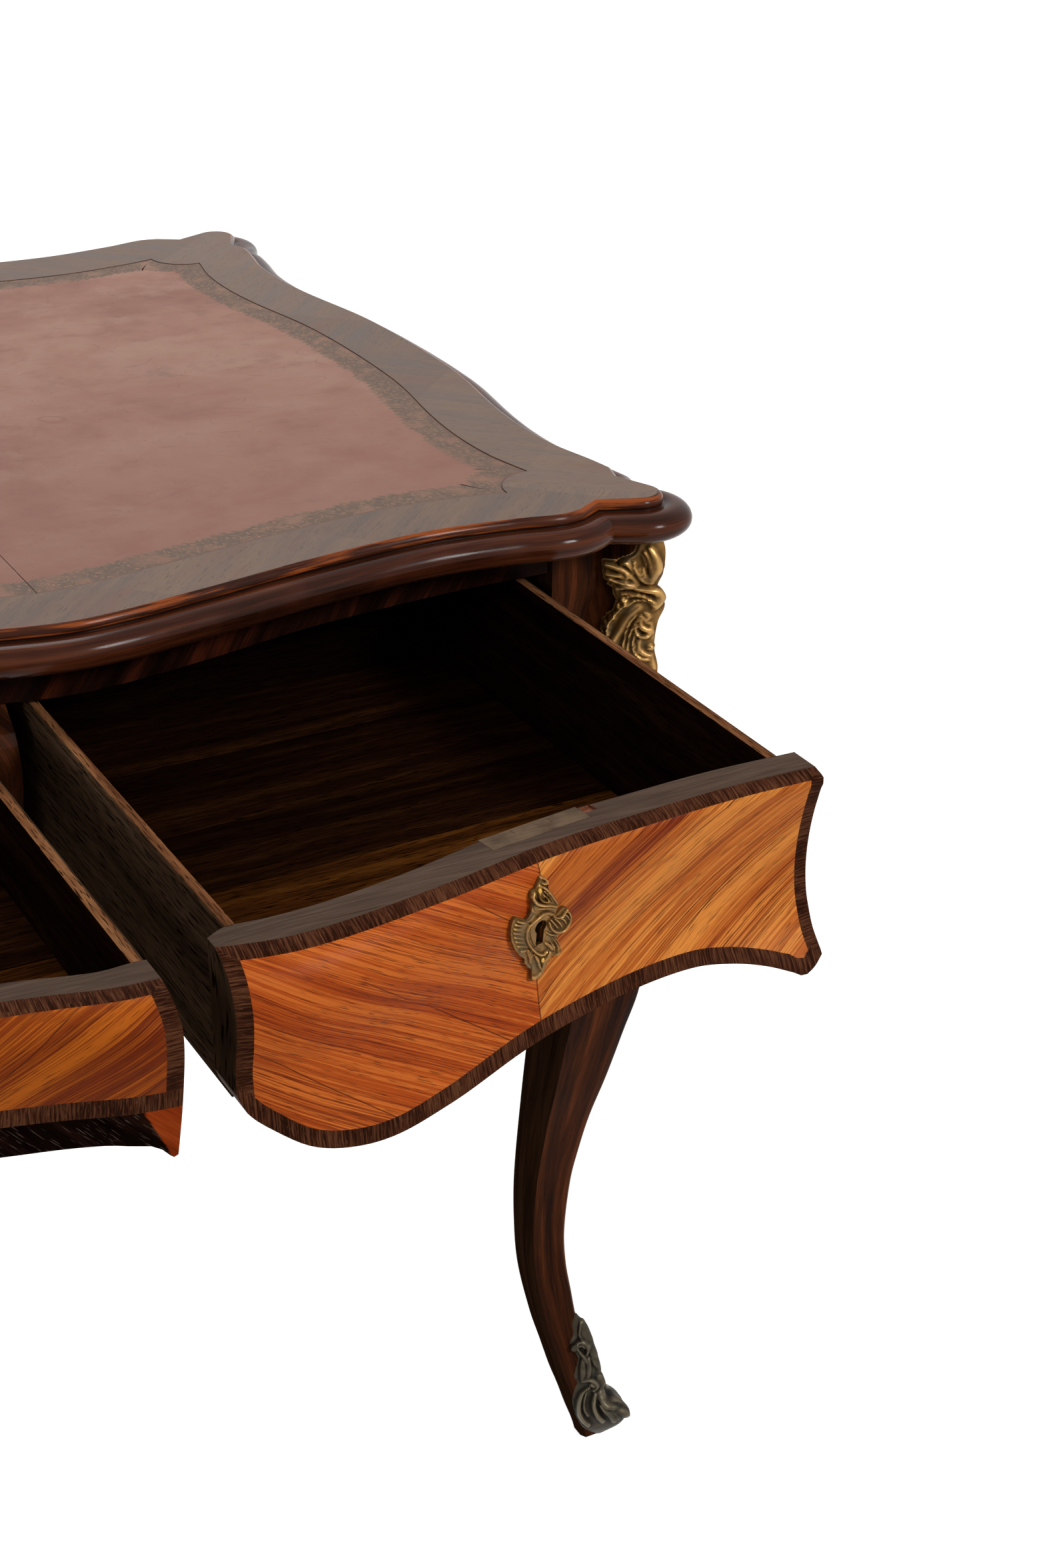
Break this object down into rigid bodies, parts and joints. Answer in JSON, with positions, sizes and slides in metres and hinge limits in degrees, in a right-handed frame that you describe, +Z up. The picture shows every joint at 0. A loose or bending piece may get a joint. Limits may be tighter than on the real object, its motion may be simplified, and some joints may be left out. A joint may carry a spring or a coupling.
{
  "type": "writing desk",
  "caption": "Flat writing desk with a serpentine leather-lined top, shaped frieze drawers that slide and lock, and cabriole legs with bronze corner mounts and shoes.",
  "frame": {"origin": "on the floor under the middle of the top", "axes": "+X to the right seen from the front, +Y to the back, +Z up; the drawers slide out towards -Y"},
  "size_m": [1.4942, 1.1467, 0.78],
  "materials": {
    "carcase_oak": "sawn oak, waxed",
    "moulding_wood": "polished dark wood",
    "border_veneer": "worn polished veneer",
    "leather": "worn, tooled along its edge",
    "gilt_bronze": "cast and gilt, worn",
    "dark_bronze": "cast, browned",
    "leg_wood": "polished dark veneer",
    "dark_veneer": "polished dark veneer",
    "kingwood": "book-matched veneer, satin",
    "runner_oak": "planed oak",
    "drawer_oak": "aged oak",
    "lock_iron": "dark iron"
  },
  "bodies": {
    "desk": {"top_core": "carcase_oak", "top_moulding": "moulding_wood", "border_veneer": "border_veneer", "leather_left": "leather", "leather_centre": "leather", "leather_right": "leather", "leg_front_left": "leg_wood", "leg_front_right": "leg_wood", "leg_back_left": "leg_wood", "leg_back_right": "leg_wood", "chute_front_left": "gilt_bronze", "chute_front_right": "gilt_bronze", "chute_back_left": "gilt_bronze", "chute_back_right": "gilt_bronze", "sabot_front_left": "dark_bronze", "sabot_front_right": "dark_bronze", "sabot_back_left": "dark_bronze", "sabot_back_right": "dark_bronze", "mount_pins": "gilt_bronze", "front_rail": "dark_veneer", "stile_front_left": "dark_veneer", "stile_front_right": "dark_veneer", "side_frieze_left": "leg_wood", "side_frieze_right": "leg_wood", "back_rail": "carcase_oak", "back_stiles": "dark_veneer", "back_front_left": "kingwood", "back_front_centre": "kingwood", "back_front_right": "kingwood", "back_escutcheons": "gilt_bronze", "partition_left": "carcase_oak", "partition_right": "carcase_oak", "end_bearers": "carcase_oak", "drawer_runners": "runner_oak", "drawer_guides": "runner_oak", "drawer_kickers": "runner_oak"},
    "drawer_left": {"drawer_left_front": "drawer_oak", "drawer_left_veneer": "kingwood", "drawer_left_sides": "drawer_oak", "drawer_left_back": "drawer_oak", "drawer_left_bottom": "drawer_oak", "drawer_left_escutcheon": "gilt_bronze", "drawer_left_lock": "lock_iron"},
    "bolt_left": {"drawer_left_bolt": "lock_iron"},
    "drawer_centre": {"drawer_centre_front": "drawer_oak", "drawer_centre_veneer": "kingwood", "drawer_centre_sides": "drawer_oak", "drawer_centre_back": "drawer_oak", "drawer_centre_bottom": "drawer_oak", "drawer_centre_escutcheon": "gilt_bronze", "drawer_centre_lock": "lock_iron"},
    "bolt_centre": {"drawer_centre_bolt": "lock_iron"},
    "drawer_right": {"drawer_right_front": "drawer_oak", "drawer_right_veneer": "kingwood", "drawer_right_sides": "drawer_oak", "drawer_right_back": "drawer_oak", "drawer_right_bottom": "drawer_oak", "drawer_right_escutcheon": "gilt_bronze", "drawer_right_lock": "lock_iron"},
    "bolt_right": {"drawer_right_bolt": "lock_iron"}
  },
  "joints": [
    {"name": "drawer_left_slide", "type": "slide", "parent": "desk", "child": "drawer_left", "axis": [0, -1, 0], "range_m": [0, 0.4]},
    {"name": "bolt_left_throw", "type": "slide", "parent": "drawer_left", "child": "bolt_left", "axis": [0, 0, 1], "range_m": [0, 0.007]},
    {"name": "drawer_centre_slide", "type": "slide", "parent": "desk", "child": "drawer_centre", "axis": [0, -1, 0], "range_m": [-0.345, 0.055]},
    {"name": "bolt_centre_throw", "type": "slide", "parent": "drawer_centre", "child": "bolt_centre", "axis": [0, 0, 1], "range_m": [0, 0.007]},
    {"name": "drawer_right_slide", "type": "slide", "parent": "desk", "child": "drawer_right", "axis": [0, -1, 0], "range_m": [-0.316, 0.084]},
    {"name": "bolt_right_throw", "type": "slide", "parent": "drawer_right", "child": "bolt_right", "axis": [0, 0, 1], "range_m": [0, 0.007]}
  ]
}
